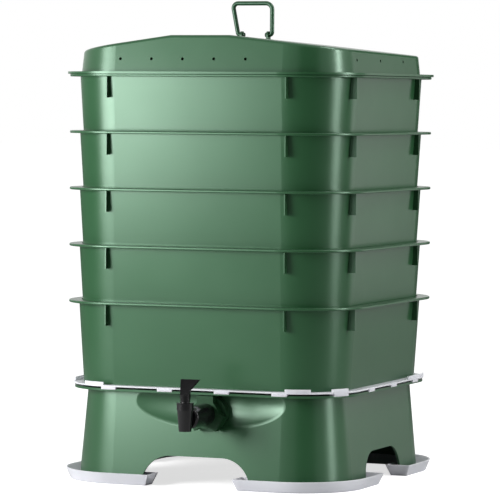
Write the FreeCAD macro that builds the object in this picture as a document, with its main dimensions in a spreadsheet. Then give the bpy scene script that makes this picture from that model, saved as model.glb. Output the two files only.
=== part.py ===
import FreeCAD, Part
import Sketcher
import math
import os

# A stacking wormery. Millimetres and degrees, +Z up, front (tap side) towards -Y.
# The origin is on the floor, at the middle of the footprint.

TRAY_COUNT = 5

# Driving sizes, one row of the sheet each. A half is half the width of a square storey.
SIZES = {
    # Every outline is a square whose corners are arcs about one point, this far from the middle
    "corner_centre": 119.0,
    # Working trays
    "tray_foot_half": 189.5,
    "tray_draft": 7.0,
    "tray_height": 110.5,
    "tray_pitch": 75.7,
    "tray_wall": 3.0,
    "tray_floor": 3.0,
    "tray_rim_reach": 13.5,
    "tray_rim_thick": 3.5,
    "rim_round": 1.2,
    "gusset_reach": 6.0,
    "gusset_length": 28.0,
    "gusset_thick": 1.8,
    "gusset_place": 127.5,
    "side_gusset_front": 137.0,
    "side_gusset_back": 106.0,
    "rib_place": 75.0,
    "rib_thick": 4.0,
    "rib_reach": 15.5,
    "hole_radius": 3.5,
    "hole_step": 42.0,
    # Base
    "base_height": 123.5,
    "base_neck_in": 6.5,
    "base_flare": 11.2,
    "base_wall": 3.0,
    "base_rim_reach": 18.5,
    "base_rim_thick": 3.0,
    "sump_floor_thick": 3.0,
    "arch_front_flat": 37.0,
    "arch_front_half": 78.0,
    "arch_front_rise": 37.0,
    "arch_side_flat": 33.0,
    "arch_side_half": 67.0,
    "arch_side_rise": 40.0,
    "dish_above_tap": 17.4,
    "dish_width_radius": 141.0,
    "dish_height_radius": 43.0,
    "dish_depth_radius": 24.0,
    "dish_stand_off": 16.0,
    "dish_edge_round": 10.0,
    # Foot trays
    "foot_outer_reach": 18.8,
    "foot_inner_reach": 16.2,
    "foot_front_past": 18.0,
    "foot_side_past": 17.0,
    "foot_height": 15.0,
    "foot_floor": 2.5,
    "foot_wall": 2.0,
    "foot_slope_in": 6.0,
    # Tap seat in the base wall
    "tap_x": 17.5,
    "tap_below_rim": 28.4,
    "tap_above_floor": 24.6,
    "seat_proud": 3.4,
    "seat_thick": 5.0,
    "seat_wall": 4.0,
    "seat_nut_room": 2.1,
    "seat_depth": 15.0,
    "seat_hole_gap": 0.3,
    # Tap
    "shank_radius": 9.5,
    "thread_gap": 0.05,
    "washer_radius": 15.0,
    "washer_thick": 2.0,
    "outer_nut_hub_radius": 19.0,
    "outer_nut_reach": 24.2,
    "outer_nut_lobe_width": 23.0,
    "outer_nut_thick": 12.0,
    "back_nut_flats": 31.0,
    "back_nut_thick": 8.0,
    "shank_tail": 2.0,
    "neck_radius": 14.75,
    "neck_length": 57.0,
    "neck_round": 3.0,
    "bore_radius": 5.0,
    "barrel_ahead": 8.0,
    "barrel_top_radius": 10.5,
    "barrel_foot_radius": 8.15,
    "barrel_below_axis": 16.6,
    "barrel_above_axis": 11.4,
    "collar_wall": 2.2,
    "collar_height": 4.0,
    "plug_radius": 7.0,
    "plug_gap": 0.05,
    "plug_below_axis": 11.5,
    "outlet_radius": 5.5,
    "plug_bore_radius": 3.8,
    "plug_bore_up": 4.0,
    "plug_head_gap": 0.6,
    "plug_head_height": 2.5,
    "stem_radius": 5.0,
    "stem_gap": 0.06,
    "square_side": 6.0,
    "square_height": 8.0,
    "ring_section_radius": 0.9,
    "ring_side_gap": 0.1,
    "ring_upper_up": 7.5,
    "ring_lower_down": 8.0,
    "cap_wall": 2.0,
    "cap_roof": 2.8,
    "cap_gap": 0.3,
    "handle_gap": 0.3,
    "hub_radius": 6.65,
    "hub_height": 9.5,
    "flag_height": 30.3,
    "flag_thick": 5.0,
    "flag_lean": 1.2,
    "flag_reach": 20.5,
    "flag_step_reach": 9.5,
    "flag_step_height": 17.8,
    # Drain screen
    "screen_thick": 4.5,
    "screen_deck": 2.0,
    "screen_gap": 0.3,
    "tab_thick": 1.2,
    "tab_width": 21.0,
    "tab_drop": 1.0,
    "tab_depth": 6.0,
    "tab_place": 40.7,
    "side_tab_step": 86.0,
    "side_tab_forward": 29.0,
    "upstand_past_corner": 26.5,
    "upstand_width": 31.5,
    "side_upstand_front": 159.0,
    "side_upstand_front_width": 23.0,
    "side_upstand_back": 109.5,
    "side_upstand_back_width": 75.0,
    "upstand_height": 4.2,
    "upstand_thick": 2.0,
    "slot_length": 50.0,
    "slot_width": 4.0,
    "slot_step_x": 66.0,
    "slot_step_y": 20.0,
    # Lid
    "lid_flange_over": 3.0,
    "lid_flange_thick": 3.0,
    "lid_wall_in": 2.0,
    "lid_wall_slope": 0.11,
    "lid_wall": 3.0,
    "roof_ridge_half": 42.0,
    "roof_ridge_height": 47.6,
    "roof_fall": 0.02,
    "roof_pitch_left": 0.14,
    "roof_pitch_right": 0.11,
    "lid_round": 4.0,
    "spigot_gap": 2.0,
    "spigot_thick": 2.5,
    "spigot_depth": 7.0,
    "vent_radius": 2.0,
    "vent_step": 44.7,
    "vent_below_ridge": 27.8,
    # Lid handle
    "wire_radius": 3.0,
    "pivot_above_ridge": 7.6,
    "handle_rise": 43.0,
    "handle_top_left": 31.3,
    "handle_foot_left": 22.8,
    "handle_right": 26.8,
    "handle_end_out": 2.5,
    "handle_foot_bend": 4.0,
    "handle_left_bend": 6.5,
    "handle_right_bend": 9.0,
    "ear_thick": 3.0,
    "ear_width": 10.0,
    "ear_hole_gap": 0.1,
}

FAR = 240.0
ARCH_BELOW = 30.0
HOLES_PER_ROW = 7
SLOTS_PER_ROW = 5
SLOT_ROWS = 17
VENTS_PER_SIDE = 5
UP = FreeCAD.Vector(0, 0, 1)

doc = FreeCAD.newDocument("wormery")
sheet = doc.addObject("Spreadsheet::Sheet", "Sizes")
for row, (alias, value) in enumerate(SIZES.items(), start=1):
    sheet.set(f"A{row}", alias)
    sheet.set(f"B{row}", str(value))
    sheet.setAlias(f"B{row}", alias)
doc.recompute()


class Size:
    """A length: its number, and the sheet expression that it comes from."""

    def __init__(self, number, text):
        self.number = float(number)
        self.text = text

    def __add__(self, other):
        other = as_size(other)
        return Size(self.number + other.number, f"({self.text} + {other.text})")

    def __sub__(self, other):
        other = as_size(other)
        return Size(self.number - other.number, f"({self.text} - {other.text})")

    def __mul__(self, other):
        other = as_size(other)
        return Size(self.number * other.number, f"({self.text} * {other.text})")

    def __truediv__(self, other):
        other = as_size(other)
        return Size(self.number / other.number, f"({self.text} / {other.text})")

    def __neg__(self):
        return Size(-self.number, f"(-1 * {self.text})")

    def root(self):
        return Size(math.sqrt(self.number), f"sqrt({self.text})")


def as_size(value):
    return value if isinstance(value, Size) else Size(value, str(value))


def size(alias):
    return Size(SIZES[alias], f"Sizes.{alias}")


def bind(item, path, length):
    """Tie one property of an object to the sheet."""
    item.setExpression(path, as_size(length).text)


def place(item, x=0, y=0, z=0):
    """Put an object at a point that follows the sheet."""
    for axis, length in (("x", x), ("y", y), ("z", z)):
        if as_size(length).text != "0":
            bind(item, f"Placement.Base.{axis}", length)


# Sketch and feature helpers


def plane_of(body, role):
    return next(item for item in body.Origin.OriginFeatures if item.Role == role)


def new_body(label):
    return doc.addObject("PartDesign::Body", label)


def new_sketch(body, name, plane="XY_Plane", offset=0):
    sketch = body.newObject("Sketcher::SketchObject", name)
    sketch.AttachmentSupport = [(plane_of(body, plane), "")]
    sketch.MapMode = "FlatFace"
    offset = as_size(offset)
    sketch.AttachmentOffset = FreeCAD.Placement(UP * offset.number, FreeCAD.Rotation())
    if offset.text != "0":
        bind(sketch, "AttachmentOffset.Base.z", offset)
    return sketch


def constrain(sketch, kind, place_of, length):
    """Add one driving dimension and tie it to the sheet."""
    number = sketch.addConstraint(Sketcher.Constraint(kind, *place_of, length.number))
    bind(sketch, f"Constraints[{number}]", length)


def draw(sketch, outline):
    """Draw one closed outline. A point is (x, y) or, where an arc leaves it, (x, y, centre, radius)."""
    edges = []
    for index, here in enumerate(outline):
        there = outline[(index + 1) % len(outline)]
        start = FreeCAD.Vector(here[0].number, here[1].number, 0)
        end = FreeCAD.Vector(there[0].number, there[1].number, 0)
        if len(here) == 2:
            edges.append((sketch.addGeometry(Part.LineSegment(start, end)), 1, 2))
            continue
        centre = FreeCAD.Vector(here[2][0].number, here[2][1].number, 0)
        forward = (start - centre).cross(end - centre).z > 0
        first, last = (start, end) if forward else (end, start)
        angles = [math.atan2(point.y - centre.y, point.x - centre.x) for point in (first, last)]
        circle = Part.Circle(centre, UP, here[3].number)
        arc = sketch.addGeometry(Part.ArcOfCircle(circle, *angles))
        edges.append((arc, 1, 2) if forward else (arc, 2, 1))
        constrain(sketch, "Radius", (arc,), here[3])
    for index, (edge, start, _) in enumerate(edges):
        before, _, end = edges[index - 1]
        sketch.addConstraint(Sketcher.Constraint("Coincident", before, end, edge, start))
        constrain(sketch, "DistanceX", (-1, 1, edge, start), outline[index][0])
        constrain(sketch, "DistanceY", (-1, 1, edge, start), outline[index][1])


def draw_circle(sketch, x, y, radius):
    centre = FreeCAD.Vector(x.number, y.number, 0)
    circle = sketch.addGeometry(Part.Circle(centre, UP, radius.number))
    constrain(sketch, "Radius", (circle,), radius)
    if x.text == "0" and y.text == "0":
        sketch.addConstraint(Sketcher.Constraint("Coincident", circle, 3, -1, 1))
        return
    for kind, length in (("DistanceX", x), ("DistanceY", y)):
        constrain(sketch, kind, (-1, 1, circle, 3), length)


def box_outline(left, right, low, high):
    return [(left, low), (right, low), (right, high), (left, high)]


def square_outline(half):
    """The plan of every storey: straight sides, and corner arcs about one point."""
    corner = size("corner_centre")
    radius = half - corner
    points = []
    for x_sign, y_sign in ((1, -1), (1, 1), (-1, 1), (-1, -1)):
        centre = (corner * x_sign, corner * y_sign)
        on_front = (centre[0], half * y_sign)
        on_side = (half * x_sign, centre[1])
        start, end = (on_front, on_side) if x_sign * y_sign < 0 else (on_side, on_front)
        points += [(*start, centre, radius), end]
    return points


def feature(body, kind, name, **properties):
    item = body.newObject(f"PartDesign::{kind}", name)
    for key, value in properties.items():
        setattr(item, key, value)
    body.Tip = item
    return item


def loft(body, name, low, high, kind="AdditiveLoft"):
    return feature(body, kind, name, Profile=low, Sections=[high], Ruled=True)


def square_loft(body, name, low, low_half, high, high_half, kind="AdditiveLoft"):
    """A tapered block or hollow between two plans, low and high above the body's own floor."""
    sketches = []
    for end, height, half in (("foot", low, low_half), ("top", high, high_half)):
        sketch = new_sketch(body, f"{name}_{end}", offset=height)
        draw(sketch, square_outline(half))
        sketches.append(sketch)
    return loft(body, name, *sketches, kind)


def pad(body, name, sketch, length, reverse=False, centred=False):
    item = feature(body, "Pad", name, Profile=sketch, Reversed=reverse, Midplane=centred)
    item.Length = as_size(length).number
    bind(item, "Length", length)
    return item


def pocket(body, name, sketch, length, reverse=False):
    item = feature(body, "Pocket", name, Profile=sketch, Reversed=reverse)
    item.Length = as_size(length).number
    bind(item, "Length", length)
    return item


def polar(body, name, originals, count):
    axis = (plane_of(body, "Z_Axis"), [""])
    return feature(body, "PolarPattern", name, Originals=originals, Axis=axis, Angle=360, Occurrences=count)


def cut(label, base, tool):
    item = doc.addObject("Part::Cut", label)
    item.Base = base
    item.Tool = tool
    return item


def fuse(label, *shapes):
    item = doc.addObject("Part::MultiFuse", label)
    item.Shapes = list(shapes)
    item.Refine = True
    return item


def cylinder_y(name, x, y, z, radius, length):
    """A round bar that starts at (x, y, z) and runs to the back."""
    item = doc.addObject("Part::Cylinder", name)
    item.Placement = FreeCAD.Placement(FreeCAD.Vector(), FreeCAD.Rotation(FreeCAD.Vector(1, 0, 0), -90))
    bind(item, "Radius", radius)
    bind(item, "Height", length)
    place(item, x, y, z)
    return item


def cylinder_z(name, x, y, z, radius, length):
    item = doc.addObject("Part::Cylinder", name)
    bind(item, "Radius", radius)
    bind(item, "Height", length)
    place(item, x, y, z)
    return item


def block(name, corner, sides):
    item = doc.addObject("Part::Box", name)
    for key, length in zip(("Length", "Width", "Height"), sides):
        bind(item, key, length)
    place(item, *corner)
    return item


# Levels above the floor

base_level = size("foot_floor")
screen_level = base_level + size("base_height")
deck_level = screen_level + size("screen_thick")
lid_level = deck_level + size("tray_height") + size("tray_pitch") * (TRAY_COUNT - 1)

# Half widths that follow from one another

tray_foot_half = size("tray_foot_half")
tray_top_half = tray_foot_half + size("tray_draft")
tray_rim_half = tray_top_half + size("tray_rim_reach")
base_neck_half = tray_foot_half - size("base_neck_in")
base_foot_half = base_neck_half + size("base_flare")
base_rim_half = base_neck_half + size("base_rim_reach")
tab_inner_half = base_rim_half + size("screen_gap")
screen_half = tab_inner_half + size("tab_thick")
lid_flange_half = tray_rim_half + size("lid_flange_over")
lid_foot_half = tray_top_half - size("lid_wall_in")
spigot_half = tray_top_half - size("tray_wall") - size("spigot_gap")

parts = []


# Foot trays: an L-shaped channel with sloping walls under each leg


def channel_outline(x_sign, y_sign, inset):
    corner = size("corner_centre")
    outer = base_foot_half + size("foot_outer_reach") - inset
    inner = base_foot_half - size("foot_inner_reach") + inset
    front_end = size("arch_front_half") - size("foot_front_past") + inset
    side_end = size("arch_side_half") - size("foot_side_past") + inset
    centre = (corner * x_sign, corner * y_sign)
    points = [
        (front_end, outer),
        (corner, outer, centre, outer - corner),
        (outer, corner),
        (outer, side_end),
        (inner, side_end),
        (inner, corner, centre, inner - corner),
        (corner, inner),
        (front_end, inner),
    ]
    return [(point[0] * x_sign, point[1] * y_sign, *point[2:]) for point in points]


def make_foot_tray(label, x_sign, y_sign):
    body = new_body(label)
    slope = size("foot_slope_in")
    floor = size("foot_floor")
    height = size("foot_height")
    wall = size("foot_wall")
    floor_inset = slope - slope * floor / height
    sections = (
        ("block", "AdditiveLoft", as_size(0), slope, height, as_size(0)),
        ("hollow", "SubtractiveLoft", floor, floor_inset + wall, height, wall),
    )
    for name, kind, low, low_inset, high, high_inset in sections:
        low_sketch = new_sketch(body, f"{label}_{name}_low", offset=low)
        draw(low_sketch, channel_outline(x_sign, y_sign, low_inset))
        high_sketch = new_sketch(body, f"{label}_{name}_high", offset=high)
        draw(high_sketch, channel_outline(x_sign, y_sign, high_inset))
        loft(body, f"{label}_{name}", low_sketch, high_sketch, kind)
    parts.append(body)


for foot_label, foot_x_sign, foot_y_sign in (
    ("foot_tray_front_right", 1, -1),
    ("foot_tray_front_left", -1, -1),
    ("foot_tray_back_right", 1, 1),
    ("foot_tray_back_left", -1, 1),
):
    make_foot_tray(foot_label, foot_x_sign, foot_y_sign)


# Base: flared stand with arches, sump, rim, dish and tap seat


def base_half(height):
    """Half the base's width at a height above its legs' ends."""
    return base_foot_half - size("base_flare") / size("base_height") * height


def arch_outline(flat, half, rise):
    """Flat-topped arch with round shoulders, drawn from below the legs' ends."""
    shoulder = half - flat
    spring = rise - shoulder
    below = as_size(-ARCH_BELOW)
    return [
        (-half, below),
        (half, below),
        (half, spring, (flat, spring), shoulder),
        (flat, rise),
        (-flat, rise, (-flat, spring), shoulder),
        (-half, spring),
    ]


def ellipsoid(name, growth):
    """The dish round the tap, grown by growth on every side."""
    item = doc.addObject("Part::Ellipsoid", name)
    item.Angle1 = -90
    item.Angle2 = 90
    item.Angle3 = 360
    bind(item, "Radius2", size("dish_width_radius") + growth)
    bind(item, "Radius3", size("dish_depth_radius") + growth)
    bind(item, "Radius1", size("dish_height_radius") + growth)
    dish_up = tap_up + size("dish_above_tap")
    middle_y = -base_half(dish_up) - size("dish_stand_off")
    place(item, size("tap_x"), middle_y, base_level + dish_up)
    return item


def dish_edges(shape):
    """Numbers of the edges round the dish: the only ones between floor and rim that climb."""
    numbers = []
    for number, edge in enumerate(shape.Edges, start=1):
        bounds = edge.BoundBox
        between = bounds.ZMin > base_level.number + 1 and bounds.ZMax < screen_level.number - 1
        if between and bounds.ZMax - bounds.ZMin > 1:
            numbers.append(number)
    return numbers


tap_up = size("base_height") - size("tap_below_rim")
hull = new_body("base_hull")
square_loft(hull, "hull", as_size(0), base_foot_half, size("base_height"), base_neck_half)
place(hull, z=base_level)

sump_top = size("base_height") + 1
sump_bottom = tap_up - size("tap_above_floor") + size("sump_floor_thick")
sump = new_body("base_sump_hollow")
sump_halves = [base_half(height) - size("base_wall") for height in (sump_bottom, sump_top)]
square_loft(sump, "sump", sump_bottom, sump_halves[0], sump_top, sump_halves[1])
place(sump, z=base_level)

under_bottom = as_size(-1)
under_top = tap_up - size("tap_above_floor")
under = new_body("base_under_hollow")
under_halves = [base_half(height) - size("base_wall") for height in (under_bottom, under_top)]
square_loft(under, "under", under_bottom, under_halves[0], under_top, under_halves[1])
place(under, z=base_level)

rim = new_body("base_rim")
rim_sketch = new_sketch(rim, "base_rim_plan", offset=size("base_height") - size("base_rim_thick"))
draw(rim_sketch, square_outline(base_rim_half))
draw(rim_sketch, square_outline(base_neck_half - size("base_wall") / 2))
pad(rim, "base_rim_pad", rim_sketch, size("base_rim_thick"))
place(rim, z=base_level)

arches = []
for side, plane in (("front", "XZ_Plane"), ("side", "YZ_Plane")):
    arch = new_body(f"base_arch_{side}")
    arch_sketch = new_sketch(arch, f"arch_{side}_shape", plane)
    arch_sizes = [size(f"arch_{side}_{name}") for name in ("flat", "half", "rise")]
    draw(arch_sketch, arch_outline(*arch_sizes))
    pad(arch, f"arch_{side}_pad", arch_sketch, 2 * FAR, centred=True)
    place(arch, z=base_level)
    arches.append(arch)

tap_x = size("tap_x")
tap_z = base_level + tap_up
seat_front = -base_half(tap_up) - size("seat_proud")
seat_inside = seat_front + size("seat_thick")
back_nut_radius = size("back_nut_flats") / as_size(3).root()
seat_bore_radius = back_nut_radius + size("seat_nut_room")
seat_radius = seat_bore_radius + size("seat_wall")
seat_hole_radius = size("shank_radius") + size("seat_hole_gap")
seat = cylinder_y("base_seat", tap_x, seat_front, tap_z, seat_radius, size("seat_depth"))
seat_bore = cylinder_y("base_seat_bore", tap_x, seat_inside, tap_z, seat_bore_radius, size("seat_depth"))
hole_length = size("seat_thick") + 2
seat_hole = cylinder_y("base_seat_hole", tap_x, seat_front - 1, tap_z, seat_hole_radius, hole_length)

below_rim_sides = (as_size(2 * FAR), as_size(FAR), screen_level - size("base_rim_thick"))
below_rim = block("base_below_rim", (as_size(-FAR), as_size(-FAR), as_size(0)), below_rim_sides)
dish = doc.addObject("Part::MultiCommon", "base_dish")
dish.Shapes = [ellipsoid("base_dish_whole", 0), below_rim]
dished = cut("base_dished", hull, dish)
doc.recompute()
outside = doc.addObject("Part::Fillet", "base_dish_round")
outside.Base = dished
dish_round = size("dish_edge_round").number
outside.Edges = [(number, dish_round, dish_round) for number in dish_edges(dished.Shape)]
sump_space = cut("base_sump_space", sump, ellipsoid("base_dish_lining", size("base_wall")))
shell = cut("base_shell", cut("base_tank", outside, sump_space), under)
with_rim = fuse("base_with_rim", shell, rim, seat)
openings = fuse("base_openings", *arches, seat_bore, seat_hole)
base = cut("base", with_rim, openings)
parts.append(base)


# Tap, on the axis of its seat


def revolve(body, name, sketch):
    item = feature(body, "Revolution", name, Profile=sketch, Angle=360)
    item.ReferenceAxis = (sketch, ["V_Axis"])
    return item


def turned(label, outline, plane):
    """A turned piece: outline is (radius, place along the axis)."""
    body = new_body(label)
    sketch = new_sketch(body, f"{label}_section", plane)
    draw(sketch, outline)
    revolve(body, f"{label}_turn", sketch)
    return body


def ring_y(label, y, outer, inner, length):
    rod = cylinder_y(f"{label}_blank", tap_x, y, tap_z, outer, length)
    bore = cylinder_y(f"{label}_bore", tap_x, y - 1, tap_z, inner, length + 2)
    return cut(label, rod, bore)


thread_radius = size("shank_radius") + size("thread_gap")
washer_thick = size("washer_thick")
nut_thick = size("outer_nut_thick")
back_nut_thick = size("back_nut_thick")
nut_back = seat_front - washer_thick
nut_front = nut_back - nut_thick
back_nut_front = seat_inside + washer_thick
shank_end = back_nut_front + back_nut_thick + size("shank_tail")
parts.append(ring_y("tap_outer_washer", nut_back, size("washer_radius"), thread_radius, washer_thick))
parts.append(ring_y("tap_inner_washer", seat_inside, size("washer_radius"), thread_radius, washer_thick))

nut = new_body("tap_outer_nut_blank")
lobe_sketch = new_sketch(nut, "outer_nut_lobe", "XZ_Plane", -nut_back)
lobe_half = size("outer_nut_lobe_width") / 2
draw(lobe_sketch, box_outline(-lobe_half, lobe_half, as_size(0.5), size("outer_nut_reach")))
lobe = pad(nut, "outer_nut_lobe_pad", lobe_sketch, nut_thick)
lobe_axis = (plane_of(nut, "Y_Axis"), [""])
feature(nut, "PolarPattern", "outer_nut_lobes", Originals=[lobe], Axis=lobe_axis, Angle=360, Occurrences=3)
hub_sketch = new_sketch(nut, "outer_nut_hub", "XZ_Plane", -nut_back)
draw_circle(hub_sketch, as_size(0), as_size(0), size("outer_nut_hub_radius"))
pad(nut, "outer_nut_hub_pad", hub_sketch, nut_thick)
place(nut, tap_x, 0, tap_z)
nut_bore = cylinder_y("tap_outer_nut_bore", tap_x, nut_front - 1, tap_z, thread_radius, nut_thick + 2)
parts.append(cut("tap_outer_nut", nut, nut_bore))

hexagon = doc.addObject("Part::Prism", "tap_back_nut_blank")
hexagon.Polygon = 6
hexagon.Placement = FreeCAD.Placement(FreeCAD.Vector(), FreeCAD.Rotation(FreeCAD.Vector(1, 0, 0), -90))
bind(hexagon, "Circumradius", back_nut_radius)
bind(hexagon, "Height", back_nut_thick)
place(hexagon, tap_x, back_nut_front, tap_z)
hexagon_bore_start = back_nut_front - 1
hexagon_bore = cylinder_y(
    "tap_back_nut_bore", tap_x, hexagon_bore_start, tap_z, thread_radius, back_nut_thick + 2
)
parts.append(cut("tap_back_nut", hexagon, hexagon_bore))

neck_radius = size("neck_radius")
neck_front = nut_front - size("neck_length")
neck_round = size("neck_round")
bore = size("bore_radius")
neck_flat = neck_radius - neck_round
neck_straight = neck_front + neck_round
neck_outline = [
    (bore, neck_front),
    (neck_flat, neck_front, (neck_flat, neck_straight), neck_round),
    (neck_radius, neck_straight),
    (neck_radius, nut_front),
    (size("shank_radius"), nut_front),
    (size("shank_radius"), shank_end),
    (bore, shank_end),
]
neck = turned("tap_neck", neck_outline, "XY_Plane")
place(neck, tap_x, 0, tap_z)

barrel_y = neck_front - size("barrel_ahead")
barrel_top = tap_z + size("barrel_above_axis")
barrel_foot = tap_z - size("barrel_below_axis")
barrel = doc.addObject("Part::Cone", "tap_barrel")
bind(barrel, "Radius1", size("barrel_foot_radius"))
bind(barrel, "Radius2", size("barrel_top_radius"))
bind(barrel, "Height", size("barrel_below_axis") + size("barrel_above_axis"))
place(barrel, tap_x, barrel_y, barrel_foot)
collar_radius = size("plug_radius") + size("collar_wall")
collar = cylinder_z("tap_collar", tap_x, barrel_y, barrel_top, collar_radius, size("collar_height"))
plug_hole_radius = size("plug_radius") + size("plug_gap")
plug_foot = tap_z - size("plug_below_axis")
collar_top = barrel_top + size("collar_height")
plug_hole_floor = plug_foot - size("plug_gap")
plug_hole_depth = collar_top - plug_hole_floor + 1
plug_hole = cylinder_z("tap_plug_hole", tap_x, barrel_y, plug_hole_floor, plug_hole_radius, plug_hole_depth)
outlet_length = plug_foot - barrel_foot + 1
outlet = cylinder_z("tap_outlet", tap_x, barrel_y, barrel_foot - 1, size("outlet_radius"), outlet_length)
port = cylinder_y("tap_port", tap_x, barrel_y, tap_z, bore, neck_straight - barrel_y)
cap_radius = collar_radius + size("cap_wall")
cap_room_radius = cap_radius + size("cap_gap")
cap_room = cylinder_z("tap_cap_room", tap_x, barrel_y, barrel_top, cap_room_radius, neck_radius)
tap_solid = fuse("tap_solid", cut("tap_neck_under_cap", neck, cap_room), barrel, collar)
parts.append(cut("tap_body", tap_solid, fuse("tap_passages", plug_hole, outlet, port)))

head_low = collar_top + size("plug_gap")
head_top = head_low + size("plug_head_height")
cap_ceiling = head_top + size("plug_gap")
cap_top = cap_ceiling + size("cap_roof")
handle_foot = cap_top + size("handle_gap")
cap_height = cap_top - barrel_top
cap_blank = cylinder_z("tap_cap_blank", tap_x, barrel_y, barrel_top, cap_radius, cap_height)
cap_thread = collar_radius + size("thread_gap")
cap_depth = cap_ceiling - barrel_top
cap_hollow = cylinder_z("tap_cap_hollow", tap_x, barrel_y, barrel_top - 1, cap_thread, cap_depth + 1)
stem_hole = size("stem_radius") + size("stem_gap")
cap_hole = cylinder_z("tap_cap_hole", tap_x, barrel_y, cap_ceiling - 1, stem_hole, size("cap_roof") + 2)
parts.append(cut("tap_cap", cap_blank, fuse("tap_cap_inside", cap_hollow, cap_hole)))

groove_floor = size("plug_radius") - size("ring_section_radius") * 2
groove_half = size("ring_section_radius") + size("ring_side_gap")
head_radius = collar_radius - size("plug_head_gap")
plug_bore = size("plug_bore_radius")
plug_outline = [(plug_bore, -size("plug_below_axis")), (size("plug_radius"), -size("plug_below_axis"))]
for ring_up in (-size("ring_lower_down"), size("ring_upper_up")):
    plug_outline += [
        (size("plug_radius"), ring_up - groove_half),
        (groove_floor, ring_up - groove_half),
        (groove_floor, ring_up + groove_half),
        (size("plug_radius"), ring_up + groove_half),
    ]
plug_outline += [
    (size("plug_radius"), head_low - tap_z),
    (head_radius, head_low - tap_z),
    (head_radius, head_top - tap_z),
    (size("stem_radius"), head_top - tap_z),
    (size("stem_radius"), handle_foot - tap_z),
    (plug_bore, handle_foot - tap_z),
]
plug_turned = turned("tap_plug_turned", plug_outline, "XZ_Plane")
place(plug_turned, tap_x, barrel_y, tap_z)
core_low = tap_z + size("plug_bore_up")
core = cylinder_z("tap_plug_core", tap_x, barrel_y, core_low, plug_bore + 0.2, handle_foot - core_low)
side = size("square_side")
square_corner = (tap_x - side / 2, barrel_y - side / 2, handle_foot - 1)
square = block("tap_plug_square", square_corner, (side, side, size("square_height") + 1))
plug_port = doc.addObject("Part::Cylinder", "tap_plug_port")
plug_port.Placement = FreeCAD.Placement(FreeCAD.Vector(), FreeCAD.Rotation(FreeCAD.Vector(0, 1, 0), -90))
bind(plug_port, "Radius", plug_bore)
bind(plug_port, "Height", size("plug_radius") + 1)
place(plug_port, tap_x, barrel_y, tap_z)
plug_solid = fuse("tap_plug_solid", plug_turned, core, square)
parts.append(cut("tap_plug", plug_solid, plug_port))

rings = (("tap_upper_o_ring", size("ring_upper_up")), ("tap_lower_o_ring", -size("ring_lower_down")))
for label, ring_up in rings:
    ring = doc.addObject("Part::Torus", label)
    bind(ring, "Radius1", size("plug_radius") - size("ring_section_radius"))
    bind(ring, "Radius2", size("ring_section_radius"))
    place(ring, tap_x, barrel_y, tap_z + ring_up)
    parts.append(ring)

hub = cylinder_z("tap_handle_hub", tap_x, barrel_y, handle_foot, size("hub_radius"), size("hub_height"))
flag = new_body("tap_handle_flag")
flag_sketch = new_sketch(flag, "flag_shape", "XZ_Plane")
flag_foot = size("hub_height") / 2
flag_outline = [
    (-size("hub_radius"), flag_foot),
    (size("hub_radius"), flag_foot),
    (size("hub_radius"), size("flag_step_height") - 2),
    (size("flag_step_reach"), size("flag_step_height")),
    (size("flag_reach"), size("flag_height")),
    (size("flag_lean") - size("hub_radius"), size("flag_height")),
]
draw(flag_sketch, flag_outline)
pad(flag, "flag_pad", flag_sketch, size("flag_thick"), centred=True)
place(flag, tap_x, barrel_y, handle_foot)
socket_side = side + size("thread_gap") * 2
socket_corner = (tap_x - socket_side / 2, barrel_y - socket_side / 2, handle_foot - 1)
socket_depth = size("square_height") + size("thread_gap")
socket = block("tap_handle_socket", socket_corner, (socket_side, socket_side, socket_depth + 1))
parts.append(cut("tap_handle", fuse("tap_handle_solid", hub, flag), socket))


# Drain screen: slotted deck, border that rests on the base rim, tabs and upstands


def corner_reach(point):
    """How far out a point lies, counted as the half of the square outline through it."""
    corner = SIZES["corner_centre"]
    return corner + math.hypot(max(abs(point.x) - corner, 0), max(abs(point.y) - corner, 0))


def band(label, low, high, inner, front_spans, side_spans):
    """Stretches of the screen's upright edge along the front and right, repeated half a turn on."""
    ring = new_body(f"{label}_band")
    ring_sketch = new_sketch(ring, f"{label}_band_plan", offset=low)
    draw(ring_sketch, square_outline(screen_half))
    draw(ring_sketch, square_outline(inner))
    pad(ring, f"{label}_band_pad", ring_sketch, high - low)
    keep = new_body(f"{label}_spans")
    keep.AllowCompound = True
    inmost = size("corner_centre")
    boxes = (
        ("front", [(left, right, as_size(-FAR), -inmost) for left, right in front_spans]),
        ("side", [(inmost, as_size(FAR), front, back) for front, back in side_spans]),
    )
    pads = []
    for side, outlines in boxes:
        keep_sketch = new_sketch(keep, f"{label}_{side}_plan", offset=low)
        for outline in outlines:
            draw(keep_sketch, box_outline(*outline))
        pads.append(pad(keep, f"{label}_{side}_pad", keep_sketch, high - low))
    polar(keep, f"{label}_spans_round", pads, 2)
    common = doc.addObject("Part::MultiCommon", label)
    common.Shapes = [ring, keep]
    return common


def spans_about(places_and_widths):
    return [(place - width / 2, place + width / 2) for place, width in places_and_widths]


plate = new_body("drain_screen_plate")
plate_sketch = new_sketch(plate, "plate_plan", offset=deck_level - size("screen_deck"))
draw(plate_sketch, square_outline(screen_half))
pad(plate, "plate_pad", plate_sketch, size("screen_deck"))
slot_sketch = new_sketch(plate, "slot_row", offset=screen_level)
slot_half = size("slot_length") / 2 - size("slot_width") / 2
slot_radius = size("slot_width") / 2
first_row = -size("slot_step_y") * ((SLOT_ROWS - 1) / 2)
for index in range(SLOTS_PER_ROW):
    middle = size("slot_step_x") * (index - (SLOTS_PER_ROW - 1) / 2)
    left, right = middle - slot_half, middle + slot_half
    low, high = first_row - slot_radius, first_row + slot_radius
    left_end = ((left, first_row), slot_radius)
    right_end = ((right, first_row), slot_radius)
    slot = [
        (left, low),
        (right, low, *right_end),
        (right + slot_radius, first_row, *right_end),
        (right, high),
        (left, high, *left_end),
        (left - slot_radius, first_row, *left_end),
    ]
    draw(slot_sketch, slot)
slot_pocket = pocket(plate, "slots", slot_sketch, size("screen_thick") + 1, reverse=True)
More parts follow.
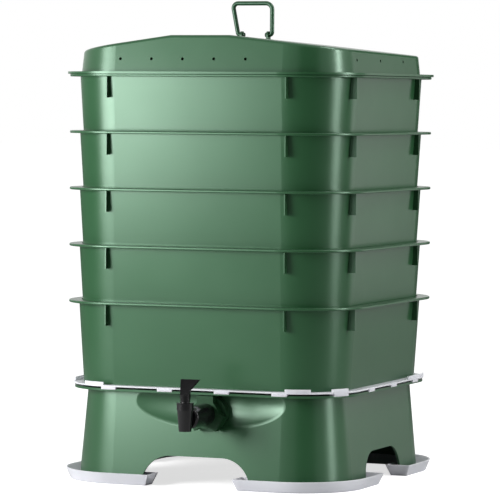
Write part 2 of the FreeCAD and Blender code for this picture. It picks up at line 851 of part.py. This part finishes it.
rows = feature(plate, "LinearPattern", "slot_rows", Originals=[slot_pocket], Occurrences=SLOT_ROWS)
rows.Direction = (plane_of(plate, "Y_Axis"), [""])
rows.Length = (size("slot_step_y") * (SLOT_ROWS - 1)).number
bind(rows, "Length", size("slot_step_y") * (SLOT_ROWS - 1))

tab_width = size("tab_width")
front_tabs = spans_about([(size("tab_place") * factor, tab_width) for factor in (-3, -1, 1, 3)])
side_steps = [size("side_tab_step") * factor for factor in (-1.5, -0.5, 0.5, 1.5)]
side_tabs = spans_about([(step - size("side_tab_forward"), tab_width) for step in side_steps])
tab_foot = screen_level - size("tab_drop")
tab_hooks = band("drain_screen_hooks", tab_foot, deck_level, tab_inner_half, front_tabs, side_tabs)
stand_inner = screen_half - size("tab_depth")
tab_stands = band("drain_screen_stands", screen_level, deck_level, stand_inner, front_tabs, side_tabs)
upstand_place = size("corner_centre") + size("upstand_past_corner")
upstand_width = size("upstand_width")
front_upstands = spans_about([(-upstand_place, upstand_width), (upstand_place, upstand_width)])
side_upstands = spans_about([
    (-size("side_upstand_front"), size("side_upstand_front_width")),
    (size("side_upstand_back"), size("side_upstand_back_width")),
])
upstand_inner = screen_half - size("upstand_thick")
upstand_low = deck_level - size("screen_deck")
upstand_top = deck_level + size("upstand_height")
upstand_spans = (front_upstands, side_upstands)
upstands = band("drain_screen_upstands", upstand_low, upstand_top, upstand_inner, *upstand_spans)
parts.append(fuse("drain_screen", plate, tab_hooks, tab_stands, upstands))


# Working trays


def tray_half(height):
    return tray_foot_half + size("tray_draft") / size("tray_height") * height


def outline_edges(shape, half):
    """Names of the level edges that lie on the square outline of this half."""
    names = []
    for number, edge in enumerate(shape.Edges, start=1):
        ends = [vertex.Point for vertex in edge.Vertexes]
        level = abs(ends[0].z - ends[-1].z) < 0.01
        if level and all(abs(corner_reach(point) - half) < 0.01 for point in ends):
            names.append(f"Edge{number}")
    return names


def fin(body, name, offset, outline, thick, plane="YZ_Plane"):
    sketch = new_sketch(body, f"{name}_shape", plane, offset)
    draw(sketch, outline)
    return pad(body, name, sketch, thick, centred=True)


def make_tray():
    """One tray, standing at the origin."""
    body = new_body("tray_shape")
    height = size("tray_height")
    wall = size("tray_wall")
    floor = size("tray_floor")
    square_loft(body, "tray_wall", as_size(0), tray_foot_half, height, tray_top_half)
    inside = [tray_half(place_up) - wall for place_up in (floor, height)]
    square_loft(body, "tray_hollow", floor, inside[0], height, inside[1], "SubtractiveLoft")
    rim_low = height - size("tray_rim_thick")
    rim_sketch = new_sketch(body, "tray_rim_plan", offset=rim_low)
    draw(rim_sketch, square_outline(tray_rim_half))
    draw(rim_sketch, square_outline(tray_top_half - wall / 2))
    tray_rim = pad(body, "tray_rim", rim_sketch, size("tray_rim_thick"))
    doc.recompute()
    edges = outline_edges(tray_rim.Shape, tray_rim_half.number)
    rounds = feature(body, "Fillet", "tray_rim_round", Base=(tray_rim, edges))
    bind(rounds, "Radius", size("rim_round"))

    gusset_low = rim_low - size("gusset_length")
    gusset_outer = tray_top_half + size("gusset_reach")
    gusset_outline = [
        (-gusset_outer, gusset_low),
        (-(tray_half(gusset_low) - wall * 0.6), gusset_low),
        (-(tray_half(rim_low) - wall * 0.6), rim_low),
        (-gusset_outer, rim_low),
    ]
    rib_low = floor / 2
    rib_inner = tray_foot_half - size("rib_reach")
    rib_outline = [
        (-(tray_half(rib_low) - wall / 2), rib_low),
        (-rib_inner, rib_low),
        (-rib_inner, size("tray_pitch")),
        (-(tray_half(size("tray_pitch")) - wall / 2), size("tray_pitch")),
    ]
    gusset_thick = size("gusset_thick")
    rib_thick = size("rib_thick")
    gussets = []
    ribs = []
    for sign, side_name in ((-1, "left"), (1, "right")):
        gusset_place = size("gusset_place") * sign
        gussets.append(fin(body, f"tray_gusset_{side_name}", gusset_place, gusset_outline, gusset_thick))
        ribs.append(fin(body, f"tray_rib_{side_name}", size("rib_place") * sign, rib_outline, rib_thick))
    side_outline = [(-outward, height_up) for outward, height_up in gusset_outline]
    for forward, end_name in ((size("side_gusset_front"), "front"), (-size("side_gusset_back"), "back")):
        fin_name = f"tray_gusset_side_{end_name}"
        gussets.append(fin(body, fin_name, forward, side_outline, gusset_thick, "XZ_Plane"))
    polar(body, "tray_gussets", gussets, 2)
    polar(body, "tray_ribs", ribs, 4)

    hole_sketch = new_sketch(body, "tray_hole_row")
    reach = size("hole_step") * ((HOLES_PER_ROW - 1) / 2)
    for index in range(HOLES_PER_ROW):
        hole_x = size("hole_step") * (index - (HOLES_PER_ROW - 1) / 2)
        draw_circle(hole_sketch, hole_x, -reach, size("hole_radius"))
    holes = pocket(body, "tray_holes", hole_sketch, floor + 1, reverse=True)
    grid = feature(body, "LinearPattern", "tray_hole_grid", Originals=[holes], Occurrences=HOLES_PER_ROW)
    grid.Direction = (plane_of(body, "Y_Axis"), [""])
    grid.Length = (reach * 2).number
    bind(grid, "Length", reach * 2)
    return body


tray_shape = make_tray()
for tray_number in range(1, TRAY_COUNT + 1):
    tray = doc.addObject("Part::Compound", f"working_tray_{tray_number}")
    tray.Links = [tray_shape]
    place(tray, z=deck_level + size("tray_pitch") * (TRAY_COUNT - tray_number))
    parts.append(tray)


# Lid: gabled roof that falls to the back, drafted walls, flange, spigot, vents and ears


def roof_outline(y, lowered):
    """What is cut away above the roof, in the upright plane at y."""
    ridge = size("roof_ridge_height") - size("roof_fall") * y - lowered
    ridge_half = size("roof_ridge_half")
    run = as_size(FAR) - ridge_half
    top = as_size(FAR)
    return [
        (-ridge_half, ridge),
        (ridge_half, ridge),
        (as_size(FAR), ridge - size("roof_pitch_right") * run),
        (as_size(FAR), top),
        (as_size(-FAR), top),
        (as_size(-FAR), ridge - size("roof_pitch_left") * run),
    ]


def lid_block(name, inset):
    """The lid's outside, or with an inset the space inside it."""
    body = new_body(name)
    top = size("roof_ridge_height") * 1.5
    foot_half = lid_foot_half - inset
    square_loft(body, f"{name}_walls", as_size(0), foot_half, top, foot_half - size("lid_wall_slope") * top)
    sketches = []
    for end, y in (("front", -FAR), ("back", FAR)):
        sketch = new_sketch(body, f"{name}_roof_{end}", "XZ_Plane", as_size(-y))
        draw(sketch, roof_outline(y, inset))
        sketches.append(sketch)
    loft(body, f"{name}_roof", *sketches, "SubtractiveLoft")
    place(body, z=lid_level)
    return body


def roof_edges(shape):
    """Names of the edges where the roof meets the walls; its own two creases stay sharp."""
    names = []
    for number, edge in enumerate(shape.Edges, start=1):
        first, last = (vertex.Point for vertex in edge.Vertexes)
        is_crease = abs(first.x - last.x) < 0.01
        if min(first.z, last.z) > 1 and not is_crease:
            names.append(f"Edge{number}")
    return names


lid_outside = lid_block("lid_outside", as_size(0))
doc.recompute()
lid_sharp = lid_outside.Tip
roof_round = feature(lid_outside, "Fillet", "lid_round", Base=(lid_sharp, roof_edges(lid_sharp.Shape)))
bind(roof_round, "Radius", size("lid_round"))
lid_inside = lid_block("lid_inside", size("lid_wall"))
lid_shell = cut("lid_shell", lid_outside, lid_inside)

lid_edge = new_body("lid_edge")
spigot_inner = spigot_half - size("spigot_thick")
spigot_depth = size("spigot_depth")
for name, low, outer, length in (
    ("flange", as_size(0), lid_flange_half, size("lid_flange_thick")),
    ("spigot", -spigot_depth, spigot_half, spigot_depth + size("lid_flange_thick")),
):
    sketch = new_sketch(lid_edge, f"lid_{name}_plan", offset=low)
    draw(sketch, square_outline(outer))
    draw(sketch, square_outline(spigot_inner))
    pad(lid_edge, f"lid_{name}", sketch, length)
place(lid_edge, z=lid_level)

pivot_up = size("roof_ridge_height") + size("pivot_above_ridge")
pivot_z = lid_level + pivot_up
ears = new_body("lid_ears")
ears.AllowCompound = True
ear_half = size("ear_width") / 2
ear_low = size("roof_ridge_height") - size("lid_wall") / 2
ear_round = ((as_size(0), pivot_up), ear_half)
ear_outline = [
    (-ear_half, ear_low),
    (ear_half, ear_low),
    (ear_half, pivot_up, *ear_round),
    (as_size(0), pivot_up + ear_half, *ear_round),
    (-ear_half, pivot_up),
]
wire_to_ear = size("handle_foot_bend") + size("ear_thick") / 2
ear_left = wire_to_ear - size("handle_foot_left")
ear_right = size("handle_right") - wire_to_ear
for name, ear_x in (("left", ear_left), ("right", ear_right)):
    fin(ears, f"ear_{name}", ear_x, ear_outline, size("ear_thick"))
place(ears, z=lid_level)

ear_bore = doc.addObject("Part::Cylinder", "lid_ear_bore")
ear_bore.Placement = FreeCAD.Placement(FreeCAD.Vector(), FreeCAD.Rotation(FreeCAD.Vector(0, 1, 0), 90))
bind(ear_bore, "Radius", size("wire_radius") + size("ear_hole_gap"))
bind(ear_bore, "Height", size("handle_foot_left") + size("handle_right"))
place(ear_bore, -size("handle_foot_left"), 0, pivot_z)

vent_up = size("roof_ridge_height") - size("vent_below_ridge")
vents = []
for side, plane, every in (("front", "XZ_Plane", 1), ("side", "YZ_Plane", 2)):
    rods = new_body(f"lid_vents_{side}")
    rods.AllowCompound = True
    rod_sketch = new_sketch(rods, f"vents_{side}_row", plane)
    for index in range(0, VENTS_PER_SIDE, every):
        along = size("vent_step") * (index - VENTS_PER_SIDE / 2)
        draw_circle(rod_sketch, along, vent_up, size("vent_radius"))
    pad(rods, f"vents_{side}_rods", rod_sketch, 2 * FAR, centred=True)
    place(rods, z=lid_level)
    vents.append(rods)

lid_solid = fuse("lid_solid", lid_shell, lid_edge, ears)
lid_cuts = doc.addObject("Part::Compound", "lid_cuts")
lid_cuts.Links = [ear_bore, *vents]
parts.append(cut("lid", lid_solid, lid_cuts))


# Lid handle: one bent wire whose ends turn in through the ears


def bent_wire(points, bends):
    """Straight runs joined by tangent arcs, one bend radius for each inner point."""
    edges = []
    start = points[0]
    for before, here, after, radius in zip(points, points[1:], points[2:], bends):
        way_in = (here - before).normalize()
        way_out = (after - here).normalize()
        half_turn = way_in.getAngle(way_out) / 2
        trim = radius * math.tan(half_turn)
        bend_in = here - way_in * trim
        bend_out = here + way_out * trim
        inward = (way_out - way_in).normalize()
        middle = here + inward * (radius / math.cos(half_turn) - radius)
        edges.append(Part.LineSegment(start, bend_in).toShape())
        edges.append(Part.Arc(bend_in, middle, bend_out).toShape())
        start = bend_out
    edges.append(Part.LineSegment(start, points[-1]).toShape())
    return Part.Wire(edges)


foot_left = -size("handle_foot_left").number
top_left = -size("handle_top_left").number
right = size("handle_right").number
tail = (size("handle_foot_bend") + size("ear_thick") + size("handle_end_out")).number
rise = size("handle_rise").number
wire_points = [
    FreeCAD.Vector(foot_left + tail, 0, 0),
    FreeCAD.Vector(foot_left, 0, 0),
    FreeCAD.Vector(top_left, 0, rise),
    FreeCAD.Vector(right, 0, rise),
    FreeCAD.Vector(right, 0, 0),
    FreeCAD.Vector(right - tail, 0, 0),
]
bends = [size(f"handle_{name}_bend").number for name in ("foot", "left", "right", "foot")]
wire_path = bent_wire(wire_points, bends)
wire_circle = Part.Circle(wire_points[0], FreeCAD.Vector(1, 0, 0), size("wire_radius").number)
section = Part.Wire(wire_circle.toShape())
handle = doc.addObject("Part::Feature", "lid_handle")
handle.Shape = Part.Solid(wire_path.makePipeShell([section], True, False))
place(handle, z=pivot_z)
parts.append(handle)


# Check and write

doc.recompute()
broken = [item.Name for item in doc.Objects if "Invalid" in item.State or "Error" in item.State]
if broken:
    raise RuntimeError(f"failed objects: {broken}")
for item in parts:
    if item.Shape.isNull() or not item.Shape.isValid():
        raise RuntimeError(f"bad shape: {item.Label}")

os.makedirs("parts", exist_ok=True)
for item in parts:
    item.Shape.exportStep(os.path.join("parts", f"{item.Label}.step"))
    bounds = item.Shape.BoundBox
    print(f"{item.Label}: {len(item.Shape.Solids)} solid, {item.Shape.Volume / 1000:.1f} cm3,"
          f" z {bounds.ZMin:.1f} to {bounds.ZMax:.1f}")
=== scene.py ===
import math

import bpy
from mathutils import Matrix, Vector

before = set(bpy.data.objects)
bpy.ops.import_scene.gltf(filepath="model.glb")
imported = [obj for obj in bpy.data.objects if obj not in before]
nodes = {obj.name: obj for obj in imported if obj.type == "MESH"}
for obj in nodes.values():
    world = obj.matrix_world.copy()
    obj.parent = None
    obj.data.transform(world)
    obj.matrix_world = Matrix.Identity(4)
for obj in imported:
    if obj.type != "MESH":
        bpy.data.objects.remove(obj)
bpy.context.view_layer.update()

TRAYS = [f"working_tray_{number}" for number in range(1, 6)]
FOOT_TRAYS = [f"foot_tray_{end}_{side}" for end in ("front", "back") for side in ("right", "left")]

# Colours, linear
GREEN = (0.0150, 0.0560, 0.0220)
# Painted shade: the nut's green is the body green darkened to stand in for the shadow the nut sits in
NUT_GREEN_PAINTED_SHADE = (0.005, 0.027, 0.008)
WIRE_GREEN = (0.012, 0.046, 0.020)
MILKY_WHITE = (0.52, 0.52, 0.57)
BLACK = (0.0045, 0.0045, 0.005)
RUBBER = (0.012, 0.012, 0.012)
GREEN_SHEEN = (0.7, 1.0, 0.8)
NEUTRAL = (1.0, 1.0, 1.0)
SKY = (0.95, 0.97, 1.0)
PAPER = (0.6, 0.6, 0.6)
DARK_CLOTH = (0.02, 0.02, 0.02)

# Noise in the plastic, its scale in cycles a metre
FLOW_MARKS = {"scale": 7.0, "detail": 4.0, "roughness": 0.55}
GLOSS_PATCHES = {"scale": 23.0, "detail": 3.0}
WALL_WAVES = {"scale": 6.0, "detail": 1.0}
SKIN_GRAIN = {"scale": 1400.0, "detail": 2.0}
NOISE_LOW = 0.3
NOISE_HIGH = 0.7

# Plastic: lengths in metres
PLASTIC_IOR = 1.5
GLOSS_SPREAD = 0.012
WAVE_HEIGHT = 0.0012
GRAIN_HEIGHT = 0.0002
MILKY_DEPTH = 0.012

# Camera, fitted to the photo
CAMERA_AZIMUTH = math.radians(22.2547)
CAMERA_DISTANCE = 4.61861
CAMERA_HEIGHT = 0.50903
CAMERA_PAN = math.radians(0.0371)
CAMERA_PITCH = math.radians(-2.5232)
CAMERA_ROLL = math.radians(0.4247)
CLIP_START = 0.1
CLIP_END = 200
FOCAL_PIXELS = 3382.07
PHOTO_PIXELS = 500
SENSOR = 36.0

# Studio, in metres
AIM_HEIGHT = 0.35
AMBIENT_STRENGTH = 0.1
BACKDROP_STRENGTH = 1.0
FLOOR_SIDE = 60
GLOW_START = 0.25
GLOW_END = 1.6
GLOW_UNDER = 0.7
GLOW_AWAY = 1.0
FLAG_DISTANCE = 5.6
FLAG_TALL = 3.6


def opaque(colour):
    return (*colour, 1.0)


def standing(azimuth, distance, height):
    """A place in the studio, its azimuth from the front and positive to the right."""
    return Vector((distance * math.sin(azimuth), -distance * math.cos(azimuth), height))


def empty_tree(owner):
    owner.use_nodes = True
    owner.node_tree.nodes.clear()
    return owner.node_tree


def new_node(tree, kind, inputs=None, **options):
    node = tree.nodes.new(kind)
    for name, value in options.items():
        setattr(node, name, value)
    for name, value in (inputs or {}).items():
        node.inputs[name].default_value = value
    return node


def noise(tree, place, scale, detail, roughness=0.5):
    """Noise between 0 and 1 over the object's own coordinates."""
    inputs = {"Scale": scale, "Detail": detail, "Roughness": roughness}
    node = new_node(tree, "ShaderNodeTexNoise", inputs)
    tree.links.new(place, node.inputs["Vector"])
    return node.outputs["Fac"]


def spread(tree, factor, low, high):
    """The middle of a noise, stretched to run from low to high."""
    inputs = {"From Min": NOISE_LOW, "From Max": NOISE_HIGH, "To Min": low, "To Max": high}
    node = new_node(tree, "ShaderNodeMapRange", inputs)
    tree.links.new(factor, node.inputs["Value"])
    return node.outputs["Result"]


def plastic(name, colour, roughness, specular, tint, mottle=0.06, grain=0.05, wave=0.25, milky=0.0):
    """Moulded plastic: faint flow marks in its colour, a fine grain, a wavy surface and uneven gloss."""
    material = bpy.data.materials.new(name)
    tree = empty_tree(material)
    link = tree.links.new
    place = new_node(tree, "ShaderNodeTexCoord").outputs["Object"]
    shader = new_node(
        tree,
        "ShaderNodeBsdfPrincipled",
        {
            "Specular IOR Level": specular,
            "Specular Tint": opaque(tint),
            "IOR": PLASTIC_IOR,
            "Subsurface Weight": milky,
            "Subsurface Radius": NEUTRAL,
            "Subsurface Scale": MILKY_DEPTH,
        },
    )
    output = new_node(tree, "ShaderNodeOutputMaterial")
    link(shader.outputs["BSDF"], output.inputs["Surface"])

    tone = new_node(tree, "ShaderNodeMix", data_type="RGBA")
    tone.inputs["A"].default_value = opaque(channel * (1 - mottle) for channel in colour)
    tone.inputs["B"].default_value = opaque(channel * (1 + mottle) for channel in colour)
    link(spread(tree, noise(tree, place, **FLOW_MARKS), 0.0, 1.0), tone.inputs["Factor"])
    link(tone.outputs["Result"], shader.inputs["Base Color"])

    patches = noise(tree, place, **GLOSS_PATCHES)
    gloss = spread(tree, patches, roughness - GLOSS_SPREAD, roughness + GLOSS_SPREAD)
    link(gloss, shader.inputs["Roughness"])

    waves = new_node(tree, "ShaderNodeBump", {"Strength": wave, "Distance": WAVE_HEIGHT})
    link(noise(tree, place, **WALL_WAVES), waves.inputs["Height"])
    skin = new_node(tree, "ShaderNodeBump", {"Strength": grain, "Distance": GRAIN_HEIGHT})
    link(noise(tree, place, **SKIN_GRAIN), skin.inputs["Height"])
    link(waves.outputs["Normal"], skin.inputs["Normal"])
    link(skin.outputs["Normal"], shader.inputs["Normal"])
    return material


def dress(material, names):
    for name in names:
        for slot in nodes[name].material_slots:
            slot.material = material


dress(
    plastic("green_plastic", GREEN, roughness=0.29, specular=0.48, tint=GREEN_SHEEN),
    ["lid", "base", *TRAYS],
)
# The nut's darkened green is painted shade for the shadow it sits in, not a different plastic
dress(
    plastic("nut_green_painted_shade", NUT_GREEN_PAINTED_SHADE, roughness=0.42, specular=0.25, tint=GREEN_SHEEN),
    ["tap_outer_nut"],
)
dress(
    plastic("green_wire", WIRE_GREEN, roughness=0.3, specular=0.4, tint=GREEN_SHEEN),
    ["lid_handle"],
)
dress(
    plastic(
        "white_plastic",
        MILKY_WHITE,
        roughness=0.45,
        specular=0.4,
        tint=NEUTRAL,
        mottle=0.02,
        milky=0.7,
    ),
    ["drain_screen", *FOOT_TRAYS],
)
dress(
    plastic(
        "black_plastic", BLACK, roughness=0.1, specular=0.3, tint=NEUTRAL, mottle=0.2, wave=0.1
    ),
    ["tap_body", "tap_cap", "tap_plug", "tap_handle", "tap_back_nut"],
)
dress(
    plastic(
        "seal_rubber", RUBBER, roughness=0.6, specular=0.3, tint=NEUTRAL, mottle=0.2, grain=0.2
    ),
    ["tap_outer_washer", "tap_inner_washer", "tap_upper_o_ring", "tap_lower_o_ring"],
)


# Camera

camera_data = bpy.data.cameras.new("camera")
camera_data.sensor_width = SENSOR
camera_data.lens = FOCAL_PIXELS / PHOTO_PIXELS * SENSOR
camera_data.clip_start = CLIP_START
camera_data.clip_end = CLIP_END
camera = bpy.data.objects.new("camera", camera_data)
bpy.context.scene.collection.objects.link(camera)
away = CAMERA_AZIMUTH + CAMERA_PAN
level = Vector((-math.sin(away), math.cos(away), 0))
ahead = level * math.cos(CAMERA_PITCH) + Vector((0, 0, math.sin(CAMERA_PITCH)))
right = ahead.cross(Vector((0, 0, 1))).normalized()
up = right.cross(ahead)
rolled_right = right * math.cos(CAMERA_ROLL) + up * math.sin(CAMERA_ROLL)
rolled_up = up * math.cos(CAMERA_ROLL) - right * math.sin(CAMERA_ROLL)
turn = Matrix((rolled_right, rolled_up, -ahead)).transposed().to_4x4()
spot = standing(CAMERA_AZIMUTH, CAMERA_DISTANCE, CAMERA_HEIGHT)
camera.matrix_world = Matrix.Translation(spot) @ turn
bpy.context.scene.camera = camera
bpy.context.scene.view_settings.view_transform = "Standard"


# Light

def softbox(name, azimuth, distance, height, width, tall, power):
    """A soft area light aimed at the middle of the object, its azimuth in degrees from the front."""
    data = bpy.data.lights.new(name, "AREA")
    data.shape = "RECTANGLE"
    data.size = width
    data.size_y = tall
    data.energy = power
    lamp = bpy.data.objects.new(name, data)
    bpy.context.scene.collection.objects.link(lamp)
    lamp.location = standing(math.radians(azimuth), distance, height)
    towards = Vector((0, 0, AIM_HEIGHT)) - lamp.location
    lamp.rotation_euler = towards.to_track_quat("-Z", "Y").to_euler()
    lamp.visible_camera = False


softbox("left_softbox", azimuth=-43, distance=1.5, height=0.55, width=0.5, tall=0.66, power=21.5)
softbox("front_softbox", azimuth=-29, distance=1.5, height=0.46, width=0.4, tall=0.5, power=15)
softbox("right_softbox", azimuth=90, distance=2.4, height=0.3, width=0.6, tall=0.6, power=12)
softbox("right_strip", azimuth=93, distance=1.3, height=0.8, width=0.12, tall=0.6, power=9)
softbox("right_top_softbox", azimuth=98, distance=1.3, height=2.0, width=0.6, tall=0.6, power=20)
softbox("back_softbox", azimuth=146, distance=2.4, height=0.45, width=0.9, tall=0.9, power=3.4)
softbox("top_softbox", azimuth=0, distance=0.01, height=2.4, width=0.9, tall=0.9, power=5)


def shown_white(tree):
    """1 for the rays that show the background itself: seen straight, mirrored or through glass."""
    path = new_node(tree, "ShaderNodeLightPath")
    shown = path.outputs["Is Camera Ray"]
    for kind in ("Is Glossy Ray", "Is Transmission Ray"):
        either = new_node(tree, "ShaderNodeMath", operation="MAXIMUM")
        tree.links.new(shown, either.inputs[0])
        tree.links.new(path.outputs[kind], either.inputs[1])
        shown = either.outputs[0]
    return shown


world = bpy.data.worlds.new("studio")
bpy.context.scene.world = world
tree = empty_tree(world)
ambient = new_node(
    tree, "ShaderNodeBackground", {"Color": opaque(SKY), "Strength": AMBIENT_STRENGTH}
)
backdrop = new_node(
    tree, "ShaderNodeBackground", {"Color": opaque(NEUTRAL), "Strength": BACKDROP_STRENGTH}
)
mixed = new_node(tree, "ShaderNodeMixShader")
tree.links.new(shown_white(tree), mixed.inputs["Fac"])
tree.links.new(ambient.outputs[0], mixed.inputs[1])
tree.links.new(backdrop.outputs[0], mixed.inputs[2])
surface = new_node(tree, "ShaderNodeOutputWorld")
tree.links.new(mixed.outputs[0], surface.inputs["Surface"])


# Floor and flags

def flat_panel(name, width, depth):
    mesh = bpy.data.meshes.new(name)
    x, y = width / 2, depth / 2
    mesh.from_pydata([(-x, -y, 0), (x, -y, 0), (x, y, 0), (-x, y, 0)], [], [(0, 1, 2, 3)])
    panel = bpy.data.objects.new(name, mesh)
    bpy.context.scene.collection.objects.link(panel)
    return panel


# The floor keeps the shadow and turns to white away from the object
floor = flat_panel("floor", FLOOR_SIDE, FLOOR_SIDE)
floor_material = bpy.data.materials.new("floor")
tree = empty_tree(floor_material)
paper = new_node(tree, "ShaderNodeBsdfDiffuse", {"Color": opaque(PAPER)})
glow = new_node(tree, "ShaderNodeEmission", {"Color": opaque(NEUTRAL)})
place = new_node(tree, "ShaderNodeTexCoord").outputs["Object"]
reach = new_node(tree, "ShaderNodeVectorMath", operation="LENGTH")
tree.links.new(place, reach.inputs[0])
ramp = new_node(
    tree,
    "ShaderNodeMapRange",
    {"From Min": GLOW_START, "From Max": GLOW_END, "To Min": GLOW_UNDER, "To Max": GLOW_AWAY},
)
tree.links.new(reach.outputs["Value"], ramp.inputs["Value"])
shown = new_node(tree, "ShaderNodeMath", operation="MULTIPLY")
path = new_node(tree, "ShaderNodeLightPath")
tree.links.new(path.outputs["Is Camera Ray"], shown.inputs[0])
tree.links.new(ramp.outputs["Result"], shown.inputs[1])
tree.links.new(shown.outputs[0], glow.inputs["Strength"])
both = new_node(tree, "ShaderNodeAddShader")
tree.links.new(paper.outputs[0], both.inputs[0])
tree.links.new(glow.outputs[0], both.inputs[1])
surface = new_node(tree, "ShaderNodeOutputMaterial")
tree.links.new(both.outputs[0], surface.inputs["Surface"])
floor.data.materials.append(floor_material)

# Dark flags that show only in the gloss of the plastic
dark_material = bpy.data.materials.new("dark_cloth")
dark_material.use_nodes = True
cloth = dark_material.node_tree.nodes["Principled BSDF"]
cloth.inputs["Base Color"].default_value = opaque(DARK_CLOTH)
for name, azimuth, width, height in (("dark_room", 34, 4.2, 0.9), ("dark_side", 158, 5.0, 1.4)):
    flag = flat_panel(name, width, FLAG_TALL)
    flag_azimuth = math.radians(azimuth)
    flag.location = standing(flag_azimuth, FLAG_DISTANCE, height)
    flag.rotation_euler = (math.radians(90), 0, flag_azimuth)
    flag.data.materials.append(dark_material)
    flag.visible_camera = False
    flag.visible_diffuse = False
    flag.visible_shadow = False
